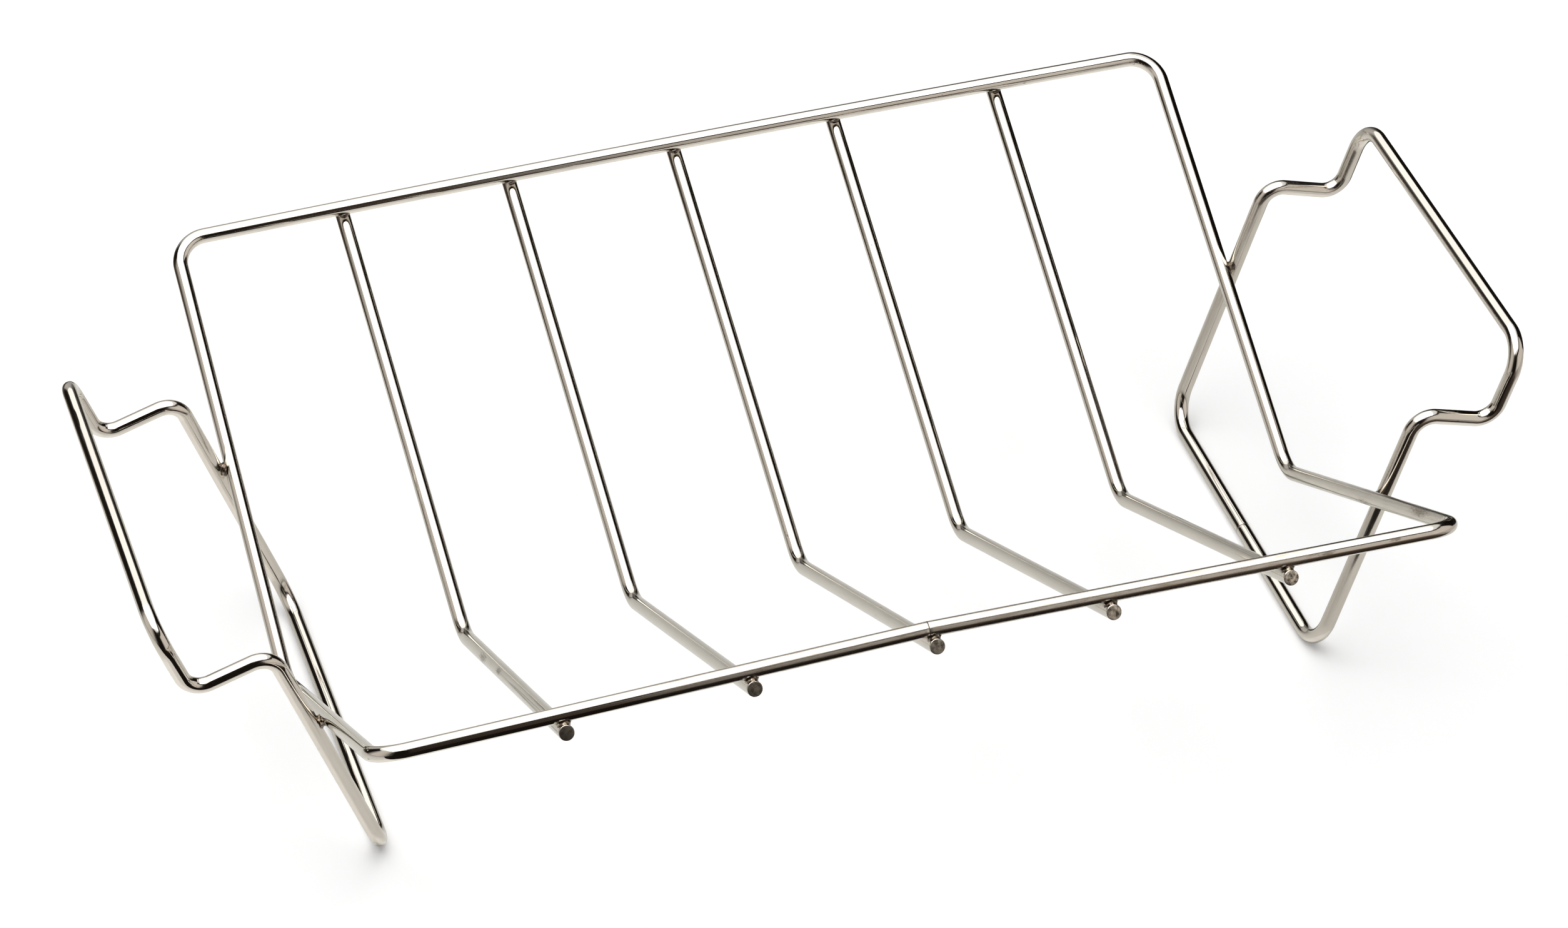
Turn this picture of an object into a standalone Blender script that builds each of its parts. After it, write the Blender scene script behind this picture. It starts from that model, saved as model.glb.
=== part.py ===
"""A roasting basket bent and welded from bright stainless wire.

A V-shaped basket of five cross wires in a closed wire frame stands on two closed end frames, whose
stepped tops are the lifting handles. Metres, +Z up: the rails run along X, the V opens upwards, and
the origin is on the ground under the middle of the basket.
"""

from math import asin, atan2, cos, hypot, pi, radians, sin, sqrt, tan

import bmesh
import bpy
from mathutils import Matrix, Vector

MM = 0.001

# The wire, its ends and its welds
WIRE_DIAMETER = 5.0 * MM
END_CHAMFER = 0.35 * MM
WELD_GAP = 0.3 * MM  # between the skins of two wires that cross
WELD_SPREAD_ALONG_CROSSING = 0.8 * MM  # how far a nugget shows past the sides of its wire
WELD_SPREAD_ALONG_WIRE = 0.5 * MM
WELD_DEPTH = 1.5 * MM  # to each side of the contact

# The basket's closed frame, sizes between wire axes
BASKET_LENGTH = 349.2 * MM
RAIL_OFFSET = 137.8 * MM  # each rail from the fold, across the basket
RAIL_HEIGHT = 105.9 * MM
SIDE_FOLD_HEIGHT = 23.9 * MM
BASKET_CORNER_RADIUS = 10.0 * MM
FOLD_RADIUS = 12.0 * MM
FRONT_RAIL_PEAK = 3.2 * MM  # the front rail's halves rise to the butt weld between them
BACK_RAIL_BOW = 2.8 * MM

# The cross wires, in equal spaces under both rails
CROSS_WIRES = 5
CROSS_FOLD_HEIGHT = 27.6 * MM
CROSS_FOLD_LEAN = 1.0 * MM  # how much closer together the folds stand than the wires at the rails
FRONT_OVERHANG = 2.9 * MM  # past the line where the wire touches the rail
BACK_OVERHANG = 1.0 * MM
# How far each wire strays along the basket, as welded: at the back rail, at its fold and at the front rail
CROSS_WIRE_STRAYS_MM = ((0, 0, 0), (0, 0.3, 1.2), (0.1, 0.9, 1.5), (-0.7, 0, 0.4), (-0.2, 0, 0.4))

# The end frames: foot bar, leaning legs, a ledge stepping outwards, and the handle
END_FRAME_WIDTH = 134.6 * MM
LEG_LENGTH = 96.5 * MM
LEG_LEAN = radians(18.7)
LEDGE_LENGTH = 27.6 * MM
LEDGE_DROOP = radians(17.3)
HANDLE_RISE = 28.6 * MM
HANDLE_LEAN = radians(19.0)
FOOT_CORNER_RADIUS = 12.0 * MM
LEDGE_BEND_RADIUS = 7.0 * MM
HANDLE_CORNER_RADIUS = 11.0 * MM

# Bright steel
STEEL_COLOUR = (0.60, 0.57, 0.53)
STEEL_ROUGHNESS = 0.17

# How finely round shapes are faceted
WIRE_SIDES = 20
BEND_STEP = radians(15)
FEWEST_BEND_STEPS = 2
BACK_RAIL_RUNS = 8
NUGGET_SEGMENTS = 16
NUGGET_RINGS = 10
HOLLOW_OVERREACH = 2  # how many times as long as its nugget a hollowing tool is
SHARPEST_SMOOTH_EDGE = radians(35)

WIRE_RADIUS = WIRE_DIAMETER / 2
FACET_STRETCH = 1 / cos(pi / WIRE_SIDES)  # a facet's corner lies this much further out than its middle
AXIS_DISTANCE = WIRE_DIAMETER + WELD_GAP  # between the axes of two welded wires
HALF_LENGTH = BASKET_LENGTH / 2
RAIL_SLOPE = atan2(RAIL_HEIGHT - SIDE_FOLD_HEIGHT, RAIL_OFFSET)
CROSS_WIRE_PITCH = BASKET_LENGTH / (CROSS_WIRES + 1)
DOWN = Vector((0, 0, -1))


def clear_scene():
    for obj in list(bpy.data.objects):
        bpy.data.objects.remove(obj, do_unlink=True)


def add_object(name, mesh):
    obj = bpy.data.objects.new(name, mesh)
    bpy.context.scene.collection.objects.link(obj)
    return obj


def steel(name):
    material = bpy.data.materials.new(name)
    material.use_nodes = True
    shader = material.node_tree.nodes["Principled BSDF"]
    shader.inputs["Base Color"].default_value = (*STEEL_COLOUR, 1.0)
    shader.inputs["Metallic"].default_value = 1.0
    shader.inputs["Roughness"].default_value = STEEL_ROUGHNESS
    return material


def bend(before, corner, after, radius):
    """The points of one bend, from its first tangent point to its last."""
    to_before = (before - corner).normalized()
    to_after = (after - corner).normalized()
    opening = to_before.angle(to_after)
    turn = pi - opening
    centre = corner + (to_before + to_after).normalized() * (radius / sin(opening / 2))
    start = corner + to_before * (radius / tan(opening / 2)) - centre
    axis = to_after.cross(to_before).normalized()
    steps = max(FEWEST_BEND_STEPS, round(turn / BEND_STEP))
    return [centre + Matrix.Rotation(turn * i / steps, 3, axis) @ start for i in range(steps + 1)]


def rounded_path(corners, closed):
    """Points along straight runs and bends. Each corner is a position and a bend radius, 0 for none."""
    points = []
    last = len(corners) - 1
    for i, (corner, radius) in enumerate(corners):
        if radius == 0 or (not closed and i in (0, last)):
            points.append(corner)
        else:
            before = corners[i - 1][0]
            after = corners[(i + 1) % len(corners)][0]
            points.extend(bend(before, corner, after, radius))
    return points


def slide(ring, direction, point, normal):
    """The ring moved along a direction onto the plane through a point."""
    reach = direction.dot(normal)
    return [v + direction * ((point - v).dot(normal) / reach) for v in ring]


def wire_rings(points, closed):
    """Mitred rings of a wire's skin along a path, with one flat side of the first run facing down."""
    count = len(points)
    run_count = count if closed else count - 1
    runs = [(points[(i + 1) % count] - points[i]).normalized() for i in range(run_count)]
    across = DOWN.cross(runs[0]).normalized()
    under = runs[0].cross(across)
    turns = [2 * pi * (i + 0.5) / WIRE_SIDES for i in range(WIRE_SIDES)]
    corner_radius = WIRE_RADIUS * FACET_STRETCH
    ring = [points[0] + (under * cos(t) + across * sin(t)) * corner_radius for t in turns]
    rings = []
    for i, point in enumerate(points):
        before = runs[i - 1] if closed or i > 0 else runs[0]
        after = runs[i] if i < run_count else runs[-1]
        ring = slide(ring, before, point, (before + after).normalized())
        rings.append(ring)
    return rings


def chamfered(rings, points):
    """The rings of an open wire with a small chamfer at both cut ends."""
    shrink = 1 - END_CHAMFER / WIRE_RADIUS
    first_way = (points[1] - points[0]).normalized()
    last_way = (points[-2] - points[-1]).normalized()
    first_tip = [points[0] + (v - points[0]) * shrink for v in rings[0]]
    last_tip = [points[-1] + (v - points[-1]) * shrink for v in rings[-1]]
    first = [v + first_way * END_CHAMFER for v in rings[0]]
    last = [v + last_way * END_CHAMFER for v in rings[-1]]
    return [first_tip, first, *rings[1:-1], last, last_tip]


def add_wire(name, corners, closed):
    """A solid wire bent round the corners, closed on itself or with two chamfered ends."""
    points = rounded_path(corners, closed)
    rings = wire_rings(points, closed)
    if not closed:
        rings = chamfered(rings, points)
    shape = bmesh.new()
    loops = [[shape.verts.new(v) for v in ring] for ring in rings]
    pairs = list(zip(loops, loops[1:]))
    if closed:
        pairs.append((loops[-1], loops[0]))
    else:
        shape.faces.new(loops[0])
        shape.faces.new(loops[-1])
    for first, second in pairs:
        for i in range(WIRE_SIDES):
            j = (i + 1) % WIRE_SIDES
            shape.faces.new((first[i], first[j], second[j], second[i]))
    bmesh.ops.recalc_face_normals(shape, faces=shape.faces)
    mesh = bpy.data.meshes.new(name)
    shape.to_mesh(mesh)
    shape.free()
    mesh.shade_smooth()
    mesh.set_sharp_from_angle(angle=SHARPEST_SMOOTH_EDGE)
    mesh.materials.append(steel(f"{name}_steel"))
    return add_object(name, mesh)


def apply_tool(obj, name, shape, operation):
    """Joins a hidden tool to the object, or cuts it away."""
    mesh = bpy.data.meshes.new(name)
    shape.to_mesh(mesh)
    shape.free()
    tool = add_object(name, mesh)
    tool.hide_render = True
    tool.display_type = "WIRE"
    modifier = obj.modifiers.new(name, "BOOLEAN")
    modifier.operation = operation
    modifier.solver = "EXACT"
    modifier.object = tool


def weld(obj, side, crossing_way, crossing_point, away):
    """A nugget on a wire where another wire crosses it, hollowed to clear that wire.

    crossing_way is the crossing wire's direction, crossing_point the point of its axis nearest to
    this wire, and away the direction from that wire to this one.
    """
    wide = away.cross(crossing_way).normalized()
    turn = Matrix((crossing_way, wide, away)).transposed().to_4x4()
    contact = crossing_point + away * (AXIS_DISTANCE / 2)
    half_length = WIRE_RADIUS + WELD_SPREAD_ALONG_CROSSING
    half_width = WIRE_RADIUS + WELD_SPREAD_ALONG_WIRE
    size = Matrix.Diagonal((half_length, half_width, WELD_DEPTH, 1))
    nugget = bmesh.new()
    bmesh.ops.create_uvsphere(
        nugget,
        u_segments=NUGGET_SEGMENTS,
        v_segments=NUGGET_RINGS,
        radius=1,
        matrix=Matrix.Translation(contact) @ turn @ size,
    )
    apply_tool(obj, f"{obj.name}_{side}_nugget", nugget, "UNION")

    hollow = bmesh.new()
    bmesh.ops.create_cone(
        hollow,
        cap_ends=True,
        segments=WIRE_SIDES,
        radius1=(WIRE_RADIUS + WELD_GAP) * FACET_STRETCH,
        radius2=(WIRE_RADIUS + WELD_GAP) * FACET_STRETCH,
        depth=2 * half_length * HOLLOW_OVERREACH,
        matrix=Matrix.Translation(crossing_point) @ turn @ Matrix.Rotation(pi / 2, 4, "Y"),
    )
    apply_tool(obj, f"{obj.name}_{side}_hollow", hollow, "DIFFERENCE")


def front_rail_at(x):
    """The axis of the front rail, whose halves rise to the butt weld at the middle."""
    rise = FRONT_RAIL_PEAK * (1 - abs(x) / HALF_LENGTH)
    return Vector((x, -RAIL_OFFSET + rise * sin(RAIL_SLOPE), RAIL_HEIGHT + rise * cos(RAIL_SLOPE)))


def back_rail_at(x):
    """The axis of the back rail, slightly bowed upwards."""
    rise = BACK_RAIL_BOW * (1 - (x / HALF_LENGTH) ** 2)
    return Vector((x, RAIL_OFFSET - rise * sin(RAIL_SLOPE), RAIL_HEIGHT + rise * cos(RAIL_SLOPE)))


def basket_frame():
    """The closed frame: two rails joined by two folded side wires."""
    corners = [
        (front_rail_at(0), 0),
        (front_rail_at(HALF_LENGTH), BASKET_CORNER_RADIUS),
        (Vector((HALF_LENGTH, 0, SIDE_FOLD_HEIGHT)), FOLD_RADIUS),
        (back_rail_at(HALF_LENGTH), BASKET_CORNER_RADIUS),
    ]
    for i in range(1, BACK_RAIL_RUNS):
        corners.append((back_rail_at(HALF_LENGTH * (1 - 2 * i / BACK_RAIL_RUNS)), 0))
    corners += [
        (back_rail_at(-HALF_LENGTH), BASKET_CORNER_RADIUS),
        (Vector((-HALF_LENGTH, 0, SIDE_FOLD_HEIGHT)), FOLD_RADIUS),
        (front_rail_at(-HALF_LENGTH), BASKET_CORNER_RADIUS),
    ]
    add_wire("basket_frame", corners, closed=True)


def foot_under_rail(fold, rail, outward):
    """Where a straight leg rising from the fold passes closest under a rail."""
    across = abs(rail.y - fold.y)
    up = rail.z - fold.z
    distance = hypot(across, up)
    steepness = atan2(up, across) - asin(AXIS_DISTANCE / distance)
    reach = sqrt(distance**2 - AXIS_DISTANCE**2)
    return Vector((rail.x, fold.y + outward * reach * cos(steepness), fold.z + reach * sin(steepness)))


def cross_wire(number, place):
    """One V-bent wire, welded under both rails. place counts from the middle one."""
    back_stray, fold_stray, front_stray = (stray * MM for stray in CROSS_WIRE_STRAYS_MM[number - 1])
    back_x = place * CROSS_WIRE_PITCH + back_stray
    front_x = place * CROSS_WIRE_PITCH + front_stray
    fold_x = place * (CROSS_WIRE_PITCH - CROSS_FOLD_LEAN) + fold_stray
    fold = Vector((fold_x, 0, CROSS_FOLD_HEIGHT))
    back_foot = foot_under_rail(fold, back_rail_at(back_x), 1)
    front_foot = foot_under_rail(fold, front_rail_at(front_x), -1)
    corners = [
        (back_foot + (back_foot - fold).normalized() * BACK_OVERHANG, 0),
        (fold, FOLD_RADIUS),
        (front_foot + (front_foot - fold).normalized() * FRONT_OVERHANG, 0),
    ]
    obj = add_wire(f"cross_wire_{number}", corners, closed=False)
    for side, rail_at, x, foot in (
        ("back", back_rail_at, back_x, back_foot),
        ("front", front_rail_at, front_x, front_foot),
    ):
        rail_way = (rail_at(x + WIRE_RADIUS) - rail_at(x - WIRE_RADIUS)).normalized()
        weld(obj, side, rail_way, rail_at(x), (foot - rail_at(x)).normalized())


def end_frame(name, hand):
    """One closed end frame: the right one for hand 1, its mirror image on the left for hand -1."""
    mirror = Matrix.Diagonal((hand, 1, 1))
    half_width = END_FRAME_WIDTH / 2

    # Each leg passes outside a side wire of the basket, at the height where that wire is as wide as the legs
    crossing_height = SIDE_FOLD_HEIGHT + half_width * tan(RAIL_SLOPE)
    leg_way = Vector((sin(LEG_LEAN), 0, cos(LEG_LEAN)))
    side_way = Vector((0, cos(RAIL_SLOPE), sin(RAIL_SLOPE)))
    away = side_way.cross(leg_way).normalized()
    leg_x = HALF_LENGTH + AXIS_DISTANCE / away.x
    foot_x = leg_x - (crossing_height - WIRE_RADIUS) * tan(LEG_LEAN)

    x = foot_x
    z = WIRE_RADIUS
    profile = [(x, z, FOOT_CORNER_RADIUS)]
    for length, angle, radius in (
        (LEG_LENGTH, pi / 2 - LEG_LEAN, LEDGE_BEND_RADIUS),
        (LEDGE_LENGTH, -LEDGE_DROOP, LEDGE_BEND_RADIUS),
        (HANDLE_RISE, pi / 2 - HANDLE_LEAN, HANDLE_CORNER_RADIUS),
    ):
        x += length * cos(angle)
        z += length * sin(angle)
        profile.append((x, z, radius))
    back = [(mirror @ Vector((x, half_width, z)), radius) for x, z, radius in profile]
    front = [(mirror @ Vector((x, -half_width, z)), radius) for x, z, radius in profile]
    butt_weld = (mirror @ Vector((foot_x, 0, WIRE_RADIUS)), 0)
    obj = add_wire(name, [butt_weld, *back, *reversed(front)], closed=True)

    # The side wire's point nearest to the leg, the two being AXIS_DISTANCE apart
    leg_point = Vector((leg_x, half_width, crossing_height))
    side_start = Vector((HALF_LENGTH, 0, SIDE_FOLD_HEIGHT))
    to_leg = leg_point - side_start
    mix = side_way.dot(leg_way)
    nearest = side_start + side_way * ((to_leg.dot(side_way) - to_leg.dot(leg_way) * mix) / (1 - mix**2))
    for side, flip in (("back", mirror), ("front", mirror @ Matrix.Diagonal((1, -1, 1)))):
        weld(obj, side, flip @ side_way, flip @ nearest, flip @ away)


def main():
    clear_scene()
    basket_frame()
    for i in range(CROSS_WIRES):
        cross_wire(i + 1, i - (CROSS_WIRES - 1) / 2)
    end_frame("right_end_frame", 1)
    end_frame("left_end_frame", -1)


main()
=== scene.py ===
"""The looks of a roasting basket in bright welded wire, in a white studio.

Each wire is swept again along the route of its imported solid, finely enough to mirror the studio, with
its cut ends, butt joints, bend marks and fused welds. Metres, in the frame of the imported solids.
"""

from math import asin, atan2, cos, hypot, pi, radians, sin, sqrt, tan

import bpy
import numpy as np
from mathutils import Matrix, Vector


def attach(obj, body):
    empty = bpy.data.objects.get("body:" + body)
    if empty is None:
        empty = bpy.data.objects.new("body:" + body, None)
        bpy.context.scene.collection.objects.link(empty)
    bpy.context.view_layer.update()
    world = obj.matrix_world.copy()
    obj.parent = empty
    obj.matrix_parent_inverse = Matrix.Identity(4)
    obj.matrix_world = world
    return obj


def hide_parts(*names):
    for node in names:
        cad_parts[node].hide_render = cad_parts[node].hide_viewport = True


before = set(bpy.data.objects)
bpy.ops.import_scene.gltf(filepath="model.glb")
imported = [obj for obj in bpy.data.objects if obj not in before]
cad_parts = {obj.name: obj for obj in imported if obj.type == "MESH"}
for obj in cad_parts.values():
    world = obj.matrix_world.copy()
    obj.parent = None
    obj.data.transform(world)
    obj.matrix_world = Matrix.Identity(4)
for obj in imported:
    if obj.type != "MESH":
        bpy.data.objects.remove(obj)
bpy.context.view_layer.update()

MM = 0.001

# The wire's route, sizes between axes as in the solids
WIRE_RADIUS = 2.5 * MM
WELD_GAP = 0.3 * MM
BASKET_LENGTH = 349.2 * MM
RAIL_OFFSET = 137.8 * MM
RAIL_HEIGHT = 105.9 * MM
SIDE_FOLD_HEIGHT = 23.9 * MM
BASKET_CORNER_RADIUS = 10.0 * MM
FOLD_RADIUS = 12.0 * MM
FRONT_RAIL_PEAK = 3.2 * MM
BACK_RAIL_BOW = 2.8 * MM
CROSS_WIRES = 5
CROSS_FOLD_HEIGHT = 27.6 * MM
CROSS_FOLD_LEAN = 1.0 * MM
FRONT_OVERHANG = 2.9 * MM
BACK_OVERHANG = 1.0 * MM
# How far each cross wire strays along the basket: at the back rail, at its fold and at the front rail
CROSS_WIRE_STRAYS_MM = ((0, 0, 0), (0, 0.3, 1.2), (0.1, 0.9, 1.5), (-0.7, 0, 0.4), (-0.2, 0, 0.4))
END_FRAME_WIDTH = 134.6 * MM
LEG_LENGTH = 96.5 * MM
LEG_LEAN = radians(18.7)
LEDGE_LENGTH = 27.6 * MM
LEDGE_DROOP = radians(17.3)
HANDLE_RISE = 28.6 * MM
HANDLE_LEAN = radians(19.0)
FOOT_CORNER_RADIUS = 12.0 * MM
LEDGE_BEND_RADIUS = 7.0 * MM
HANDLE_CORNER_RADIUS = 11.0 * MM

AXIS_DISTANCE = 2 * WIRE_RADIUS + WELD_GAP
HALF_LENGTH = BASKET_LENGTH / 2
RAIL_SLOPE = atan2(RAIL_HEIGHT - SIDE_FOLD_HEIGHT, RAIL_OFFSET)
CROSS_WIRE_PITCH = BASKET_LENGTH / (CROSS_WIRES + 1)
STRAIGHT = Vector((0, 0, 0))  # stands where a bend has a vector towards its inside

# How finely the wire is swept
WIRE_SIDES = 64
RING_PITCH = 1.2 * MM
BEND_STEP = radians(3)
FEWEST_BEND_STEPS = 2
BACK_RAIL_RUNS = 32

# Cut ends and butt joints
CUT_EDGE = 0.32 * MM
CUT_DOME = 0.10 * MM
BUTT_EDGE = 0.09 * MM
BUTT_GAP = 0.02 * MM
EDGE_STEPS = 4
END_FACE_SHARES = (0.8, 0.55, 0.3, 0.1)  # the rings of an end's face, as shares of the wire's radius
RINGLESS_EDGES = 1.5  # how many edges deep an end keeps clear of the wire's own rings

# Welds: the fused metal between two wires, and how far its heat has coloured them
WELD_REACH_ALONG = 2.8 * MM
WELD_REACH_ACROSS = 2.1 * MM
WELD_HEAT_REACH = 3.2 * MM
WELD_CROSSING_POWER = 1.5  # how sharply the reach changes from along a wire to across it
WELD_RAGGEDNESS = 0.10
WELD_SINK = 0.12 * MM  # how deep the fillet's rims lie in the skins
WAIST = 0.80  # the fillet's thinnest place, as a share of its reach
WAIST_RAGGEDNESS = 0.05
RAGGED_WAVES = (2, 3, 5, 7, 11)
LEAST_WAVE = 0.3
WELD_STEPS_ROUND = 72
WELD_STEPS_UP = 14

# Marks of the bending tool inside the tight bends
WRINKLE_DEPTH = 0.2 * MM  # for a wire bent round its own side; a gentler bend has a small part of it
WRINKLE_PITCH = 1.1 * MM

# Press marks on the skin: the middle of each, half its length along the wire and half its width, in mm
PRESS_MARKS_MM = {
    "left_end_frame": ((-226.9, 41.5, 114.0, 2.6, 0.45), (-226.8, 36.0, 114.1, 2.2, 0.6),
                       (-226.7, 31.2, 114.2, 1.8, 0.5)),
}
PRESS_DEPTH = 0.07 * MM
PRESS_SLOPE = 0.6  # how far the sides of a mark slope out past it, as a share of its half size

# Duller stretches: from and to, in mm along the wire or before its end, and how dull from 0 to 1
DULL_STRETCHES_MM = {
    "basket_frame": ((0, 120, 1.0), (120, 165, 0.4), (185, 320, 0.5), (-80, 0, 0.9)),
    "cross_wire_1": ((170, 330, 0.35),),
    "cross_wire_2": ((170, 330, 0.25),),
    "cross_wire_3": ((170, 330, 0.35),),
    "cross_wire_4": ((170, 330, 0.3),),
    "cross_wire_5": ((170, 330, 0.25),),
    "right_end_frame": ((85, 200, 0.5), (215, 330, 0.25), (-150, -85, 0.4)),
    "left_end_frame": ((70, 150, 0.35), (215, 330, 0.25), (-160, -70, 0.3)),
}
DULL_FADE = 25 * MM
# Brown stains: the middle of each on the skin, and its reach across the wire, in mm
STAINS_MM = {
    "basket_frame": ((173.5, -112, 92, 3.0), (173, -70, 64, 2.6), (130, -139.5, 107.7, 0.9),
                     (69.6, -139, 107.5, 0.8), (152, -139.6, 107.7, 0.7)),
    "cross_wire_1": ((-115.7, -37.6, 48, 2.0), (-115.9, -59.6, 59.9, 1.4)),
}
STAIN_STRETCH = 3.5  # how many times longer a stain is along the wire than across it

# The camera, as fitted to the photograph
CAMERA_PLACE = Vector((-0.4209, -1.3879, 1.2181))
CAMERA_TARGET = Vector((0.0021, 0.0203, 0.0550))
CAMERA_ROLL = radians(-1.02)
CAMERA_LENS_MM = 129.49
CAMERA_SENSOR_MM = 36

# Colours of the metal
STEEL = (0.70, 0.655, 0.59)
STEEL_AT_GRAZING = (0.93, 0.95, 0.94)
SCORCHED = (0.085, 0.065, 0.050)
WELD_DARK = (0.06, 0.046, 0.035)
WELD_BROWN = (0.19, 0.15, 0.11)
WELD_BARE = (0.58, 0.51, 0.42)
STRAW = (0.56, 0.44, 0.30)
FILM = (0.50, 0.45, 0.385)
TARNISH = (0.42, 0.345, 0.265)
STAIN = (0.22, 0.175, 0.13)
CUT_DARK = (0.10, 0.083, 0.066)
CUT_LIGHT = (0.46, 0.41, 0.34)
CUT_TONES = (0.35, 0.5, 0.85, 1.5, 1.9)  # how light the cut ends of each cross wire are
DARKER_PATCH = 0.93  # how bright the steel's darker patches are beside the rest

# Textures on the skin, as changes in a metre: twice across the wire, then along it
PATCH_SCALE = (180, 180, 28)
STREAK_SCALE = (900, 900, 110)
GRAIN_SCALE = (2600, 2600, 500)
LINE_SCALE = (3000, 3000, 22)
SWAY_SCALE = (90, 90, 45)
PIT_SCALE = (420, 420, 160)
PIT_GROUP_SCALE = (60, 60, 60)
BLOTCH_SCALE = (700, 700, 700)
WELD_SPOT_SCALE = (900, 900, 900)
WELD_LUMP_SCALE = 500
SEED_SHIFT = (0.13, 0.07, 0.31)
HEAT_RAGGEDNESS = 0.35
STAIN_RAGGEDNESS = 1.6

# Bumps: strength and height
SWAY_BUMP = (0.35, 0.05 * MM)
LINE_BUMP = (0.30, 0.010 * MM)
GRAIN_BUMP = (0.30, 0.006 * MM)
LUMP_BUMP = (0.5, 0.25 * MM)

# How much each adds to the roughness
SCORCH_ROUGHNESS = 0.25
STAIN_ROUGHNESS = 0.15
BEND_ROUGHNESS = 0.10
CUT_ROUGHNESS = 0.34
JOINT_ROUGHNESS = 0.2

# Sockets of the node that mixes colours
MIX_SHARE = 0
MIX_FIRST = 6
MIX_SECOND = 7
MIX_RESULT = 2


def new_mesh(name, points, faces):
    mesh = bpy.data.meshes.new(name)
    mesh.from_pydata(points, [], faces)
    mesh.update()
    return mesh


def new_object(name, data):
    obj = bpy.data.objects.new(name, data)
    bpy.context.scene.collection.objects.link(obj)
    return obj


# The route of each wire

def bend(before, corner, after, radius):
    """The stations of one bend: each a point of the axis and a vector towards the bend's inside."""
    to_before = (before - corner).normalized()
    to_after = (after - corner).normalized()
    opening = to_before.angle(to_after)
    turn = pi - opening
    centre = corner + (to_before + to_after).normalized() * (radius / sin(opening / 2))
    start = corner + to_before * (radius / tan(opening / 2)) - centre
    axis = to_after.cross(to_before).normalized()
    steps = max(FEWEST_BEND_STEPS, round(turn / BEND_STEP))
    stations = []
    for i in range(steps + 1):
        spoke = Matrix.Rotation(turn * i / steps, 3, axis) @ start
        tightness = WIRE_RADIUS / radius * sin(pi * i / steps)
        stations.append((centre + spoke, -spoke.normalized() * tightness))
    return stations


def route(corners):
    """Stations of a wire from its first corner to its last, with straight runs divided."""
    stations = [(corners[0][0], STRAIGHT)]
    for i in range(1, len(corners) - 1):
        corner, radius = corners[i]
        if radius == 0:
            stations.append((corner, STRAIGHT))
        else:
            stations.extend(bend(corners[i - 1][0], corner, corners[i + 1][0], radius))
    stations.append((corners[-1][0], STRAIGHT))
    divided = [stations[0]]
    for (start, _), (end, inward) in zip(stations, stations[1:]):
        pieces = max(1, round((end - start).length / RING_PITCH))
        for k in range(1, pieces):
            divided.append((start.lerp(end, k / pieces), STRAIGHT))
        divided.append((end, inward))
    return divided


def front_rail_at(x):
    rise = FRONT_RAIL_PEAK * (1 - abs(x) / HALF_LENGTH)
    return Vector((x, -RAIL_OFFSET + rise * sin(RAIL_SLOPE), RAIL_HEIGHT + rise * cos(RAIL_SLOPE)))


def back_rail_at(x):
    rise = BACK_RAIL_BOW * (1 - (x / HALF_LENGTH) ** 2)
    return Vector((x, RAIL_OFFSET - rise * sin(RAIL_SLOPE), RAIL_HEIGHT + rise * cos(RAIL_SLOPE)))


def basket_frame_corners():
    """From the butt joint in the middle of the front rail, all the way round to it again."""
    corners = [
        (front_rail_at(0), 0),
        (front_rail_at(HALF_LENGTH), BASKET_CORNER_RADIUS),
        (Vector((HALF_LENGTH, 0, SIDE_FOLD_HEIGHT)), FOLD_RADIUS),
        (back_rail_at(HALF_LENGTH), BASKET_CORNER_RADIUS),
    ]
    for i in range(1, BACK_RAIL_RUNS):
        corners.append((back_rail_at(HALF_LENGTH * (1 - 2 * i / BACK_RAIL_RUNS)), 0))
    corners += [
        (back_rail_at(-HALF_LENGTH), BASKET_CORNER_RADIUS),
        (Vector((-HALF_LENGTH, 0, SIDE_FOLD_HEIGHT)), FOLD_RADIUS),
        (front_rail_at(-HALF_LENGTH), BASKET_CORNER_RADIUS),
        (front_rail_at(0), 0),
    ]
    return corners


def foot_under_rail(fold, rail, outward):
    """Where a straight leg rising from the fold passes closest under a rail."""
    across = abs(rail.y - fold.y)
    up = rail.z - fold.z
    distance = hypot(across, up)
    steepness = atan2(up, across) - asin(AXIS_DISTANCE / distance)
    reach = sqrt(distance**2 - AXIS_DISTANCE**2)
    return Vector((rail.x, fold.y + outward * reach * cos(steepness), fold.z + reach * sin(steepness)))


def cross_wire_route(number):
    """The corners of a V-bent wire, and the joint under each rail: two axis points and two directions."""
    back_stray, fold_stray, front_stray = (stray * MM for stray in CROSS_WIRE_STRAYS_MM[number - 1])
    place = number - (CROSS_WIRES + 1) / 2
    back_x = place * CROSS_WIRE_PITCH + back_stray
    front_x = place * CROSS_WIRE_PITCH + front_stray
    fold_x = place * (CROSS_WIRE_PITCH - CROSS_FOLD_LEAN) + fold_stray
    fold = Vector((fold_x, 0, CROSS_FOLD_HEIGHT))
    back_foot = foot_under_rail(fold, back_rail_at(back_x), 1)
    front_foot = foot_under_rail(fold, front_rail_at(front_x), -1)
    back_way = (back_foot - fold).normalized()
    front_way = (front_foot - fold).normalized()
    corners = [
        (back_foot + back_way * BACK_OVERHANG, 0),
        (fold, FOLD_RADIUS),
        (front_foot + front_way * FRONT_OVERHANG, 0),
    ]
    step = WIRE_RADIUS
    joints = []
    for side, rail_at, x, foot, way in (
        ("back", back_rail_at, back_x, back_foot, back_way),
        ("front", front_rail_at, front_x, front_foot, front_way),
    ):
        rail_way = (rail_at(x + step) - rail_at(x - step)).normalized()
        joints.append((side, rail_at(x), rail_way, foot, way))
    return corners, joints


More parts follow.
